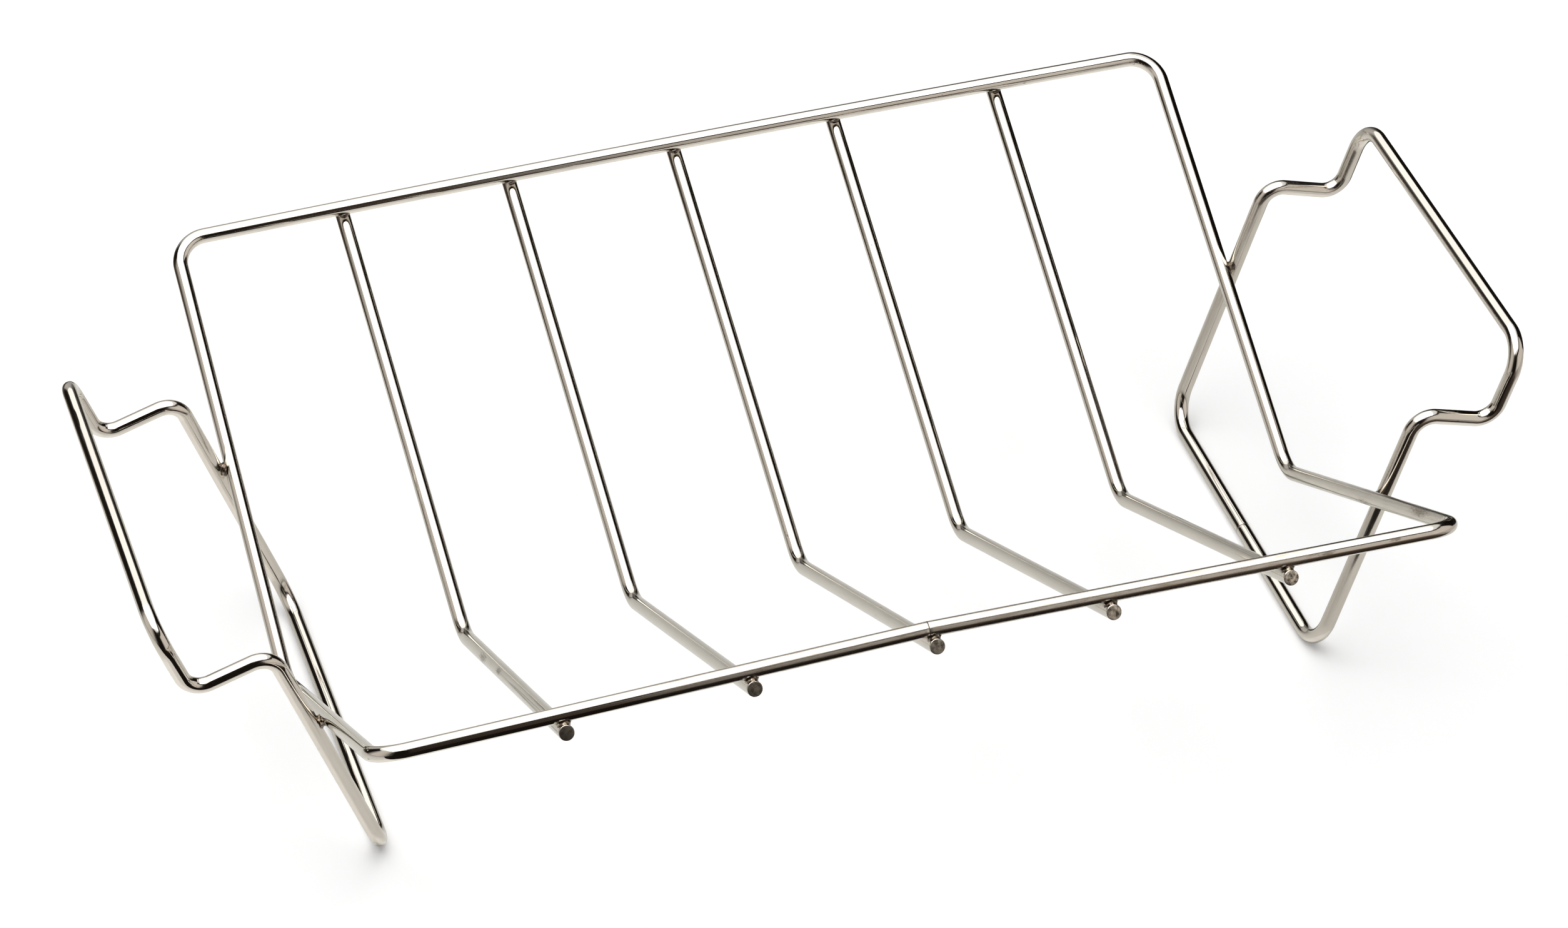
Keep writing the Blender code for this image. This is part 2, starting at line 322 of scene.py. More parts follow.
def end_frame_route(hand):
    """The corners of an end frame, from its butt joint round to it again, and its joints with a side
    wire: two axis points and two directions each."""
    mirror = Matrix.Diagonal((hand, 1, 1))
    half_width = END_FRAME_WIDTH / 2
    crossing_height = SIDE_FOLD_HEIGHT + half_width * tan(RAIL_SLOPE)
    leg_way = Vector((sin(LEG_LEAN), 0, cos(LEG_LEAN)))
    side_way = Vector((0, cos(RAIL_SLOPE), sin(RAIL_SLOPE)))
    away = side_way.cross(leg_way).normalized()
    leg_x = HALF_LENGTH + AXIS_DISTANCE / away.x
    foot_x = leg_x - (crossing_height - WIRE_RADIUS) * tan(LEG_LEAN)

    x = foot_x
    z = WIRE_RADIUS
    profile = [(x, z, FOOT_CORNER_RADIUS)]
    for length, angle, radius in (
        (LEG_LENGTH, pi / 2 - LEG_LEAN, LEDGE_BEND_RADIUS),
        (LEDGE_LENGTH, -LEDGE_DROOP, LEDGE_BEND_RADIUS),
        (HANDLE_RISE, pi / 2 - HANDLE_LEAN, HANDLE_CORNER_RADIUS),
    ):
        x += length * cos(angle)
        z += length * sin(angle)
        profile.append((x, z, radius))
    back = [(mirror @ Vector((x, half_width, z)), radius) for x, z, radius in profile]
    front = [(mirror @ Vector((x, -half_width, z)), radius) for x, z, radius in profile]
    butt = (mirror @ Vector((foot_x, 0, WIRE_RADIUS)), 0)

    leg_point = Vector((leg_x, half_width, crossing_height))
    side_start = Vector((HALF_LENGTH, 0, SIDE_FOLD_HEIGHT))
    to_leg = leg_point - side_start
    mix = side_way.dot(leg_way)
    near_side = side_start + side_way * ((to_leg.dot(side_way) - to_leg.dot(leg_way) * mix) / (1 - mix**2))
    near_leg = near_side + away * AXIS_DISTANCE
    joints = []
    for side, flip in (("back", mirror), ("front", mirror @ Matrix.Diagonal((1, -1, 1)))):
        joints.append((side, flip @ near_side, flip @ side_way, flip @ near_leg, flip @ leg_way))
    return [butt, *back, *reversed(front), butt], joints


# Swept wire

def upright_frames(points):
    """A tangent and two normals at each station, carried along without twisting."""
    count = len(points)
    runs = [(points[i + 1] - points[i]).normalized() for i in range(count - 1)]
    tangents = [runs[0]] + [(runs[i - 1] + runs[i]).normalized() for i in range(1, count - 1)] + [runs[-1]]
    normal = Vector((0, 0, -1)).cross(tangents[0]).cross(tangents[0]).normalized()
    frames = []
    for i, tangent in enumerate(tangents):
        if i > 0:
            normal = tangents[i - 1].rotation_difference(tangent) @ normal
            normal = (normal - tangent * normal.dot(tangent)).normalized()
        frames.append((tangent, normal, tangent.cross(normal)))
    return frames


def end_profile(edge, dome):
    """Rings of a cut end from its rim inwards: distance back from the tip, and share of the radius."""
    profile = []
    for i in range(EDGE_STEPS + 1):
        angle = pi / 2 * i / EDGE_STEPS
        profile.append((edge * (1 - sin(angle)), 1 - edge / WIRE_RADIUS * (1 - cos(angle))))
    flat = profile[-1][1]
    for share in END_FACE_SHARES:
        profile.append((-dome * (1 - (share / flat) ** 2), share))
    return profile


def sweep_wire(node, corners, joints, edge, dome):
    """The mesh of one wire with both ends cut, and what its material reads: its straightened
    skin, the heat of its welds and joints, its stains, and how far each point lies inside a bend."""
    stations = route(corners)
    points = [p for p, _ in stations]
    frames = upright_frames(points)
    lengths = [0.0]
    for a, b in zip(points, points[1:]):
        lengths.append(lengths[-1] + (b - a).length)
    total = lengths[-1]

    turns = np.arange(WIRE_SIDES) * 2 * pi / WIRE_SIDES
    cosines = np.cos(turns)[:, None]
    sines = np.sin(turns)[:, None]
    rings = []
    skins = []
    insides = []

    def add_ring(centre, axes, share, along, inward):
        """share scales the ring's radius. inward points into a bend and is as long as the bend is tight."""
        _, normal, side = axes
        spokes = cosines * np.array(normal) + sines * np.array(side)
        inside = spokes @ np.array(inward)
        squeezed = np.clip(inside, 0, 1) ** 2
        wrinkle = np.sin(2 * pi * along / WRINKLE_PITCH) * squeezed
        radius = WIRE_RADIUS * share + WRINKLE_DEPTH * (wrinkle - squeezed)
        rings.append(np.array(centre) + spokes * radius[:, None])
        skins.append(np.column_stack([cosines * WIRE_RADIUS * share, sines * WIRE_RADIUS * share,
                                      np.full(WIRE_SIDES, along)]))
        insides.append(inside)

    profile = end_profile(edge, dome)
    for back, share in reversed(profile):
        add_ring(points[0] + frames[0][0] * back, frames[0], share, back, STRAIGHT)
    clear = edge * RINGLESS_EDGES
    for i in range(1, len(points) - 1):
        if clear < lengths[i] < total - clear:
            add_ring(points[i], frames[i], 1, lengths[i], stations[i][1])
    for back, share in profile:
        add_ring(points[-1] - frames[-1][0] * back, frames[-1], share, total - back, STRAIGHT)

    count = len(rings)
    vertices = np.concatenate(rings)
    tips = np.array([points[0] - frames[0][0] * dome, points[-1] + frames[-1][0] * dome])
    vertices = np.vstack([vertices, tips])
    skin = np.vstack([np.concatenate(skins), [[0, 0, -dome], [0, 0, total + dome]]])
    inside = np.append(np.concatenate(insides), [0, 0])
    faces = []
    for r in range(count - 1):
        a = r * WIRE_SIDES
        b = a + WIRE_SIDES
        for i in range(WIRE_SIDES):
            j = (i + 1) % WIRE_SIDES
            faces.append((a + i, a + j, b + j, b + i))
    first_tip = count * WIRE_SIDES
    last = (count - 1) * WIRE_SIDES
    for i in range(WIRE_SIDES):
        j = (i + 1) % WIRE_SIDES
        faces.append((first_tip, j, i))
        faces.append((first_tip + 1, last + i, last + j))
    press(node, vertices, skin)
    mesh = new_mesh(f"{node}_wire", vertices.tolist(), faces)
    mesh.shade_smooth()

    heat = np.zeros(len(vertices))
    for _, rail_point, _, own_point, _ in joints:
        contact = (np.array(rail_point) + np.array(own_point)) / 2
        distance = np.linalg.norm(vertices - contact, axis=1)
        heat = np.maximum(heat, np.exp(-((distance / WELD_HEAT_REACH) ** 2)))
    set_values(mesh, "skin", "FLOAT_VECTOR", skin)
    set_values(mesh, "heat", "FLOAT", heat)
    set_values(mesh, "inside", "FLOAT", inside)
    set_values(mesh, "from_end", "FLOAT", np.minimum(skin[:, 2], total - skin[:, 2]))
    set_values(mesh, "dull", "FLOAT", dullness(node, skin[:, 2], total))
    set_values(mesh, "stain", "FLOAT", stains(node, vertices, skin))
    return mesh


def press(node, vertices, skin):
    """Presses the tool's marks into the wire."""
    for *middle, half_length, half_width in PRESS_MARKS_MM.get(node, ()):
        nearest = np.argmin(np.linalg.norm(vertices - np.array(middle) * MM, axis=1))
        first = nearest // WIRE_SIDES * WIRE_SIDES
        inward = vertices[first:first + WIRE_SIDES].mean(axis=0) - vertices[nearest]
        inward /= np.linalg.norm(inward)
        away = np.abs(skin - skin[nearest]) / MM
        across = np.hypot(away[:, 0], away[:, 1]) / half_width
        reach = np.maximum(across, away[:, 2] / half_length)
        depth = np.clip(1 + PRESS_SLOPE - reach, 0, PRESS_SLOPE) / PRESS_SLOPE
        vertices += np.outer(depth * PRESS_DEPTH, inward)


def dullness(node, along, total):
    """How dull each point is, from the duller stretches of its wire, which fade out at both ends."""
    dull = np.zeros(len(along))
    for start, end, amount in DULL_STRETCHES_MM.get(node, ()):
        first = start * MM if start >= 0 else total + start * MM
        last = end * MM if start >= 0 else total + end * MM
        fade = 0 if first == 0 else DULL_FADE
        far_fade = 0 if last == total else DULL_FADE
        shape = np.interp(along, [first - fade, first, last, last + far_fade], [0, 1, 1, 0])
        if first == 0 or last == total:
            shape = np.where((along < 0) | (along > total), 1, shape)
        dull = np.maximum(dull, shape * amount)
    return dull


def stains(node, vertices, skin):
    """How stained each point is. A stain lies on the skin, longer along the wire than across it."""
    stained = np.zeros(len(vertices))
    for *middle, reach in STAINS_MM.get(node, ()):
        nearest = np.argmin(np.linalg.norm(vertices - np.array(middle) * MM, axis=1))
        away = (skin - skin[nearest]) / (1, 1, STAIN_STRETCH)
        stained = np.maximum(stained, np.exp(-((np.linalg.norm(away, axis=1) / (reach * MM)) ** 2)))
    return stained


def set_values(mesh, name, kind, values):
    attribute = mesh.attributes.new(name, kind, "POINT")
    field = "vector" if kind == "FLOAT_VECTOR" else "value"
    attribute.data.foreach_set(field, np.asarray(values, np.float32).ravel())


def weld_mesh(name, joint, seed):
    """The fused metal round the contact of two wires: a concave fillet from one skin to the other."""
    _, rail_point, rail_way, own_point, own_way = joint
    random = np.random.default_rng(seed)
    up = (own_point - rail_point).normalized()
    middle = (own_point + rail_point) / 2
    along = rail_way.normalized()
    across = up.cross(along).normalized()
    own_angle = atan2(own_way.dot(across), own_way.dot(along))
    half = (own_point - rail_point).length / 2
    waves = [(n, random.uniform(0, 2 * pi), random.uniform(LEAST_WAVE, 1) / n) for n in RAGGED_WAVES]

    def ragged(angle):
        return sum(size * sin(n * angle + shift) for n, shift, size in waves)

    def reach_over(off_axis, angle):
        """How far the fillet reaches over a wire, and how far from that wire's axis the skin lies there."""
        reach = WELD_REACH_ALONG + (WELD_REACH_ACROSS - WELD_REACH_ALONG) * off_axis**WELD_CROSSING_POWER
        reach *= 1 + WELD_RAGGEDNESS * ragged(angle)
        return reach, sqrt(max(WIRE_RADIUS**2 - (reach * off_axis) ** 2, 0))

    rings = []
    for k in range(WELD_STEPS_ROUND):
        angle = 2 * pi * k / WELD_STEPS_ROUND
        out = along * cos(angle) + across * sin(angle)
        reach_rail, rail_skin = reach_over(abs(sin(angle)), angle)
        reach_own, own_skin = reach_over(abs(sin(angle - own_angle)), angle + 1)
        low = -half + rail_skin
        high = half - own_skin
        start = np.array([reach_rail, low - WELD_SINK])
        end = np.array([reach_own, high + WELD_SINK])
        waist = min(reach_rail, reach_own) * (WAIST + WAIST_RAGGEDNESS * ragged(2 * angle))
        control = np.array([waist, (low + high) / 2])
        ring = []
        for i in range(WELD_STEPS_UP + 1):
            t = i / WELD_STEPS_UP
            reach, height = (1 - t) ** 2 * start + 2 * t * (1 - t) * control + t**2 * end
            ring.append(middle + out * reach + up * height)
        rings.append(ring)
    points = [p for ring in rings for p in ring]
    width = WELD_STEPS_UP + 1
    faces = []
    for k in range(WELD_STEPS_ROUND):
        a = k * width
        b = (k + 1) % WELD_STEPS_ROUND * width
        for i in range(WELD_STEPS_UP):
            faces.append((a + i, b + i, b + i + 1, a + i + 1))
    points.append(middle - up * (WIRE_RADIUS / 2))
    points.append(middle + up * (WIRE_RADIUS / 2))
    low_tip = len(points) - 2
    for k in range(WELD_STEPS_ROUND):
        a = k * width
        b = (k + 1) % WELD_STEPS_ROUND * width
        faces.append((low_tip, b, a))
        faces.append((low_tip + 1, a + WELD_STEPS_UP, b + WELD_STEPS_UP))
    mesh = new_mesh(name, points, faces)
    mesh.shade_smooth()
    return mesh


# Materials

def new_material(name):
    material = bpy.data.materials.new(name)
    material.use_nodes = True
    tree = material.node_tree
    return material, tree, tree.nodes["Principled BSDF"]


def add_node(tree, kind, **settings):
    node = tree.nodes.new(kind)
    for key, value in settings.items():
        setattr(node, key, value)
    return node


def attribute(tree, name, output):
    return add_node(tree, "ShaderNodeAttribute", attribute_name=name).outputs[output]


def math(tree, operation, a, b):
    node = add_node(tree, "ShaderNodeMath", operation=operation)
    for socket, value in zip(node.inputs, (a, b)):
        if isinstance(value, (int, float)):
            socket.default_value = value
        else:
            tree.links.new(value, socket)
    return node.outputs[0]


def plus_share(tree, base, value, share):
    """base plus a share of value."""
    return math(tree, "ADD", base, math(tree, "MULTIPLY", value, share))


def scaled(tree, vector, scale):
    node = add_node(tree, "ShaderNodeVectorMath", operation="MULTIPLY")
    tree.links.new(vector, node.inputs[0])
    node.inputs[1].default_value = scale
    return node.outputs[0]


def noise(tree, vector, detail=2.0, roughness=0.5):
    node = add_node(tree, "ShaderNodeTexNoise")
    node.inputs["Scale"].default_value = 1.0
    node.inputs["Detail"].default_value = detail
    node.inputs["Roughness"].default_value = roughness
    tree.links.new(vector, node.inputs["Vector"])
    return node.outputs["Fac"]


def ramp(tree, value, stops):
    """A colour ramp. Each stop is a position and a grey level or a colour."""
    node = add_node(tree, "ShaderNodeValToRGB")
    elements = node.color_ramp.elements
    while len(elements) < len(stops):
        elements.new(0.5)
    for element, (position, colour) in zip(elements, stops):
        element.position = position
        grey = isinstance(colour, (int, float))
        element.color = (colour, colour, colour, 1) if grey else (*colour, 1)
    tree.links.new(value, node.inputs["Fac"])
    return node.outputs["Color"]


def mix_colours(tree, share, first, second):
    node = add_node(tree, "ShaderNodeMix", data_type="RGBA")
    for number, value in ((MIX_SHARE, share), (MIX_FIRST, first), (MIX_SECOND, second)):
        socket = node.inputs[number]
        if isinstance(value, tuple):
            socket.default_value = (*value, 1)
        elif isinstance(value, (int, float)):
            socket.default_value = value
        else:
            tree.links.new(value, socket)
    return node.outputs[MIX_RESULT]


def bump(tree, height, strength, distance, before=None):
    node = add_node(tree, "ShaderNodeBump")
    node.inputs["Strength"].default_value = strength
    node.inputs["Distance"].default_value = distance
    tree.links.new(height, node.inputs["Height"])
    if before is not None:
        tree.links.new(before, node.inputs["Normal"])
    return node.outputs["Normal"]


def wire_material(name, seed, cut_tone):
    """Drawn bright steel: long drawing lines, dull and tarnished stretches, pits and stains, scorched at
    welds and joints. A cut end, where cut_tone isn't 0, is rough and mottled."""
    material, tree, shader = new_material(name)
    skin = attribute(tree, "skin", "Vector")
    shifted = add_node(tree, "ShaderNodeVectorMath", operation="ADD")
    tree.links.new(skin, shifted.inputs[0])
    shifted.inputs[1].default_value = tuple(seed * shift for shift in SEED_SHIFT)
    skin = shifted.outputs[0]
    heat = attribute(tree, "heat", "Fac")
    from_end = math(tree, "DIVIDE", attribute(tree, "from_end", "Fac"), MM)
    inside = attribute(tree, "inside", "Fac")
    dull = attribute(tree, "dull", "Fac")
    stain = attribute(tree, "stain", "Fac")

    patches = noise(tree, scaled(tree, skin, PATCH_SCALE), detail=3)
    streaks = noise(tree, scaled(tree, skin, STREAK_SCALE), detail=4, roughness=0.6)
    grain = noise(tree, scaled(tree, skin, GRAIN_SCALE), detail=4, roughness=0.65)
    lines = noise(tree, scaled(tree, skin, LINE_SCALE), detail=2)
    sway = noise(tree, scaled(tree, skin, SWAY_SCALE), detail=1)

    warmth = ramp(tree, patches, [(0.35, STEEL), (0.70, tuple(c * DARKER_PATCH for c in STEEL))])
    tarnish = ramp(tree, streaks, [(0.48, 0.0), (0.68, 0.9)])
    tarnish = math(tree, "MULTIPLY", tarnish, math(tree, "MULTIPLY", dull, dull))
    pits = add_node(tree, "ShaderNodeTexVoronoi", feature="F1")
    pits.inputs["Scale"].default_value = 1.0
    tree.links.new(scaled(tree, skin, PIT_SCALE), pits.inputs["Vector"])
    pit = ramp(tree, pits.outputs["Distance"], [(0.05, 1.0), (0.11, 0.0)])
    rare = ramp(tree, noise(tree, scaled(tree, skin, PIT_GROUP_SCALE)), [(0.58, 0.0), (0.66, 1.0)])
    pit = math(tree, "MULTIPLY", pit, rare)

    rag = math(tree, "SUBTRACT", grain, 0.5)
    ragged_heat = plus_share(tree, heat, rag, HEAT_RAGGEDNESS)
    ragged_stain = plus_share(tree, stain, rag, STAIN_RAGGEDNESS)
    scorch = ramp(tree, ragged_heat, [(0.42, 0.0), (0.60, 1.0)])
    straw = ramp(tree, ragged_heat, [(0.22, 0.0), (0.45, 0.55)])
    stained = ramp(tree, ragged_stain, [(0.45, 0.0), (0.95, 0.75)])
    joint = ramp(tree, from_end, [(0.08, 0.75), (0.30, 0.0)])

    film = math(tree, "MULTIPLY", dull, ramp(tree, lines, [(0.35, 0.45), (0.65, 0.05)]))
    colour = mix_colours(tree, film, warmth, FILM)
    colour = mix_colours(tree, tarnish, colour, TARNISH)
    colour = mix_colours(tree, straw, colour, STRAW)
    colour = mix_colours(tree, scorch, colour, SCORCHED)
    colour = mix_colours(tree, stained, colour, STAIN)
    colour = mix_colours(tree, pit, colour, SCORCHED)

    base_rough = ramp(tree, patches, [(0.42, 0.05), (0.75, 0.10)])
    satin = math(tree, "MULTIPLY", dull, ramp(tree, streaks, [(0.35, 0.13), (0.65, 0.24)]))
    rough = math(tree, "ADD", base_rough, satin)
    rough = plus_share(tree, rough, scorch, SCORCH_ROUGHNESS)
    rough = plus_share(tree, rough, stained, STAIN_ROUGHNESS)
    rough = plus_share(tree, rough, math(tree, "MAXIMUM", inside, 0), BEND_ROUGHNESS)

    if cut_tone:
        cut = ramp(tree, from_end, [(0.02, 1.0), (0.10, 0.0)])
        blotches = noise(tree, scaled(tree, skin, BLOTCH_SCALE), detail=4, roughness=0.6)
        light = tuple(min(1, c * cut_tone) for c in CUT_LIGHT)
        colour = mix_colours(tree, cut, colour, ramp(tree, blotches, [(0.36, CUT_DARK), (0.60, light)]))
        rough = plus_share(tree, rough, cut, CUT_ROUGHNESS)
    else:
        colour = mix_colours(tree, joint, colour, SCORCHED)
        rough = plus_share(tree, rough, joint, JOINT_ROUGHNESS)
    tree.links.new(colour, shader.inputs["Base Color"])
    tree.links.new(rough, shader.inputs["Roughness"])
    shader.inputs["Metallic"].default_value = 1.0
    shader.inputs["Specular Tint"].default_value = (*STEEL_AT_GRAZING, 1)

    normal = bump(tree, sway, *SWAY_BUMP)
    normal = bump(tree, lines, *LINE_BUMP, normal)
    normal = bump(tree, grain, *GRAIN_BUMP, normal)
    tree.links.new(normal, shader.inputs["Normal"])
    return material


def weld_material(name, seed):
    """Fused and scorched steel."""
    material, tree, shader = new_material(name)
    place = add_node(tree, "ShaderNodeTexCoord").outputs["Object"]
    spots = noise(tree, scaled(tree, place, WELD_SPOT_SCALE), detail=4, roughness=0.6)
    colour = ramp(tree, spots, [(0.38, WELD_DARK), (0.54, WELD_BROWN), (0.68, WELD_BARE)])
    tree.links.new(colour, shader.inputs["Base Color"])
    tree.links.new(ramp(tree, spots, [(0.3, 0.36), (0.7, 0.12)]), shader.inputs["Roughness"])
    shader.inputs["Metallic"].default_value = 1.0
    lump_scale = (WELD_LUMP_SCALE + seed, WELD_LUMP_SCALE, WELD_LUMP_SCALE)
    lumps = noise(tree, scaled(tree, place, lump_scale), detail=3)
    tree.links.new(bump(tree, lumps, *LUMP_BUMP), shader.inputs["Normal"])
    return material


# The pieces

def add_wire_piece(node, corners, joints, edge, dome, seed, cut_tone=0):
    """The wire that stands for a node."""
    wire = new_object(f"{node}_wire", sweep_wire(node, corners, joints, edge, dome))
    wire.data.materials.append(wire_material(f"{node}_steel", seed, cut_tone))
    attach(wire, "root")
    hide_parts(node)


def add_weld_piece(node, joint, seed):
    """The fused metal of one of a node's welds."""
    name = f"{node}_{joint[0]}_weld"
    weld = new_object(name, weld_mesh(name, joint, seed))
    weld.data.materials.append(weld_material(f"{name}_metal", seed))
    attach(weld, "root")


def build_basket():
    cross_wires = []
    frame_joints = []
    for number in range(1, CROSS_WIRES + 1):
        corners, joints = cross_wire_route(number)
        cross_wires.append((f"cross_wire_{number}", corners, joints))
        frame_joints += joints
    end_frames = []
    for name, hand in (("right_end_frame", 1), ("left_end_frame", -1)):
        corners, joints = end_frame_route(hand)
        end_frames.append((name, corners, joints))
        frame_joints += joints
    seed = 1
    add_wire_piece("basket_frame", basket_frame_corners(), frame_joints, BUTT_EDGE, -BUTT_GAP, seed)
    for (name, corners, joints), cut_tone in zip(cross_wires, CUT_TONES):
        seed += 1
        add_wire_piece(name, corners, joints, CUT_EDGE, CUT_DOME, seed, cut_tone)
        for joint in joints:
            seed += 1
            add_weld_piece(name, joint, seed)
    for name, corners, joints in end_frames:
        seed += 1
        add_wire_piece(name, corners, joints, BUTT_EDGE, -BUTT_GAP, seed)
        for joint in joints:
            seed += 1
            add_weld_piece(name, joint, seed)


# The studio: a softbox above, panels standing round the object, and sheets on the floor

FLOOR_REACH = 6.0
FLOOR_WHITE = 0.93
FLOOR_ROUGHNESS = 0.9
FLOOR_LIFT = 0.15  # how much the floor near the object glows; beyond FLOOR_FADE it glows as much as white
FLOOR_FADE = (0.40, 1.30)
TABLE_WHITE = (0.93, 0.915, 0.885)
TABLE_ROUGHNESS = 0.10
TABLE_IOR = 1.9
EYE_HEIGHT = 0.08
PANEL_DISTANCE = 1.6
PANEL_STEP = 4  # degrees
BEHIND_PANELS = PANEL_DISTANCE + 0.02
GAP_LOW = 33  # the lowest elevation of the gap over the right panel, in degrees
BACK_WHITE_LOW = 20
SHEET_HEIGHT = 0.0015
FIRST_MIRROR_DEPTH = 1.5  # above the depth of a ray that one mirror has sent on, below that of two
SECOND_MIRROR = 0.15  # how bright the panels are where one wire mirrors another
SOFTBOX_HEIGHT = 1.5
SOFTBOX_X = (-1.20, 0.78)
SOFTBOX_Y = (-1.00, 1.12)
SOFTBOX_RADIANCE = 2.0
FILL = 0.30

WARM_WHITE = (1.06, 1.0, 0.93)
PAPER = (1.02, 1.0, 0.97)
INK = (1.3, 1.0, 0.8)

# Panels: columns of azimuth and highest elevation in degrees, brightness and tint.
# Azimuth 0 is behind the object and 90 to its right.
RIGHT_PANEL = [
    (90, 44, 0.60, WARM_WHITE), (100, 40, 0.74, WARM_WHITE), (150, 37, 0.76, WARM_WHITE),
    (160, 36, 0.62, WARM_WHITE), (166, 35, 0.50, WARM_WHITE), (169, 35, 0.26, WARM_WHITE),
    (173, 36, 0.05, INK), (180, 45, 0.008, INK),
]
FRONT_PANEL = [
    (180, 45, 0.008, INK), (215, 47, 0.008, INK), (225, 48, 0.08, WARM_WHITE), (235, 48, 0.35, WARM_WHITE),
    (242, 47, 0.55, WARM_WHITE),
]
LEFT_PANEL = [
    (242, 47, 0.55, WARM_WHITE), (255, 46, 0.66, WARM_WHITE), (276, 45, 0.70, WARM_WHITE),
    (283, 41, 0.56, WARM_WHITE), (289, 37, 0.36, WARM_WHITE), (294, 35, 0.17, WARM_WHITE),
]
BACK_LEFT_PANEL = [
    (294, 40, 0.17, WARM_WHITE), (299, 40, 0.03, INK), (303, 39, 0.008, INK), (320, 34, 0.008, INK),
    (327, 32, 0.03, INK),
]
BACK_PANEL = [
    (327, 32, 0.04, PAPER), (333, 29, 0.45, PAPER), (341, 28, 0.60, PAPER), (360, 27, 0.50, PAPER),
    (368, 27, 0.45, PAPER), (374, 28, 0.22, PAPER), (384, 31, 0.08, PAPER), (390, 31, 0.02, INK),
]
BLACK_PANEL = [
    (390, 31, 0.012, INK), (400, 32, 0.006, INK), (420, 40, 0.005, INK), (440, 47, 0.005, INK),
    (450, 49, 0.01, INK),
]
GAP_OVER_RIGHT_PANEL = [(90, 50, 0.02, INK), (140, 48, 0.008, INK), (180, 47, 0.006, INK)]
BACK_WHITE = [(315, 58, 1.55, (1, 1, 1)), (395, 58, 1.55, (1, 1, 1))]

# Sheets on the floor: pairs of near and far points, each x, y and brightness, in metres
FRONT_SHEET = [
    ((-0.20, -0.19, 0.008), (-1.45, -0.95, 0.008)), ((-0.10, -0.15, 0.008), (-1.00, -1.50, 0.008)),
    ((0.00, -0.15, 0.008), (-0.20, -1.60, 0.01)), ((0.10, -0.15, 0.01), (0.20, -1.60, 0.04)),
    ((0.20, -0.15, 0.015), (0.33, -1.56, 0.25)), ((0.27, -0.15, 0.03), (0.60, -1.48, 0.50)),
]
RIGHT_SHEET = [
    ((0.27, -0.15, 0.30), (0.60, -1.48, 0.50)), ((0.32, -0.15, 0.55), (1.13, -1.13, 0.60)),
    ((0.48, 0.01, 0.60), (1.60, 0.00, 0.55)),
]
BACK_RIGHT_SHEET = [
    ((0.38, 0.03, 0.010), (1.60, 0.02, 0.008)), ((0.25, 0.12, 0.010), (1.13, 1.13, 0.008)),
    ((0.23, 0.30, 0.015), (0.95, 1.28, 0.010)), ((0.28, 0.50, 0.050), (0.80, 1.38, 0.020)),
]
BACK_LEFT_SHEET = [
    ((-0.09, 0.42, 0.10), (-0.55, 1.50, 0.05)), ((-0.13, 0.29, 0.08), (-1.13, 1.13, 0.02)),
    ((-0.45, 0.27, 0.06), (-1.45, 0.68, 0.03)),
]


def glow_material():
    """A panel that glows as bright as its own colour says, and weakly where one wire mirrors another."""
    material = bpy.data.materials.new("panel_cloth")
    material.use_nodes = True
    tree = material.node_tree
    tree.nodes.clear()
    glow = add_node(tree, "ShaderNodeEmission")
    tree.links.new(attribute(tree, "glow", "Color"), glow.inputs["Color"])
    depth = add_node(tree, "ShaderNodeLightPath").outputs["Ray Depth"]
    first_mirror = math(tree, "LESS_THAN", depth, FIRST_MIRROR_DEPTH)
    strength = math(tree, "MAXIMUM", first_mirror, SECOND_MIRROR)
    tree.links.new(strength, glow.inputs["Strength"])
    out = add_node(tree, "ShaderNodeOutputMaterial")
    tree.links.new(glow.outputs[0], out.inputs["Surface"])
    return material


def add_glowing_strip(name, pairs, material):
    """A strip through pairs of points with their colours, which only mirrors see."""
    points = [point for pair in pairs for point, _ in pair]
    colours = [(*colour, 1) for pair in pairs for _, colour in pair]
    faces = [(2 * i, 2 * i + 1, 2 * i + 3, 2 * i + 2) for i in range(len(pairs) - 1)]
    mesh = new_mesh(name, points, faces)
    glow = mesh.attributes.new("glow", "FLOAT_COLOR", "POINT")
    glow.data.foreach_set("color", np.array(colours, np.float32).ravel())
    mesh.materials.append(material)
    strip = new_object(name, mesh)
    strip.visible_camera = False
    strip.visible_diffuse = False
    strip.visible_shadow = False
    strip.visible_transmission = False


def tinted(brightness, tint):
    return tuple(brightness * channel for channel in tint)


def add_panel(name, columns, material, distance=PANEL_DISTANCE, low_elevation=None):
    """A curved panel that stands on the floor, or begins at low_elevation."""
    pairs = []
    for i in range(len(columns) - 1):
        start, end = columns[i], columns[i + 1]
        steps = max(1, round((end[0] - start[0]) / PANEL_STEP))
        for k in range(steps + (i == len(columns) - 2)):
            share = k / steps
            azimuth = radians(start[0] + (end[0] - start[0]) * share)
            high = start[1] + (end[1] - start[1]) * share
            low_colour = np.array(tinted(start[2], start[3]))
            colour = tuple(low_colour + (np.array(tinted(end[2], end[3])) - low_colour) * share)
            low = 0.0 if low_elevation is None else EYE_HEIGHT + distance * tan(radians(low_elevation))
            top = EYE_HEIGHT + distance * tan(radians(high))
            x = distance * sin(azimuth)
            y = distance * cos(azimuth)
            pairs.append((((x, y, low), colour), ((x, y, top), colour)))
    add_glowing_strip(name, pairs, material)


def add_sheet(name, edges, tint, material):
    pairs = []
    for ends in edges:
        pairs.append(tuple(((x, y, SHEET_HEIGHT), tinted(brightness, tint)) for x, y, brightness in ends))
    add_glowing_strip(name, pairs, material)


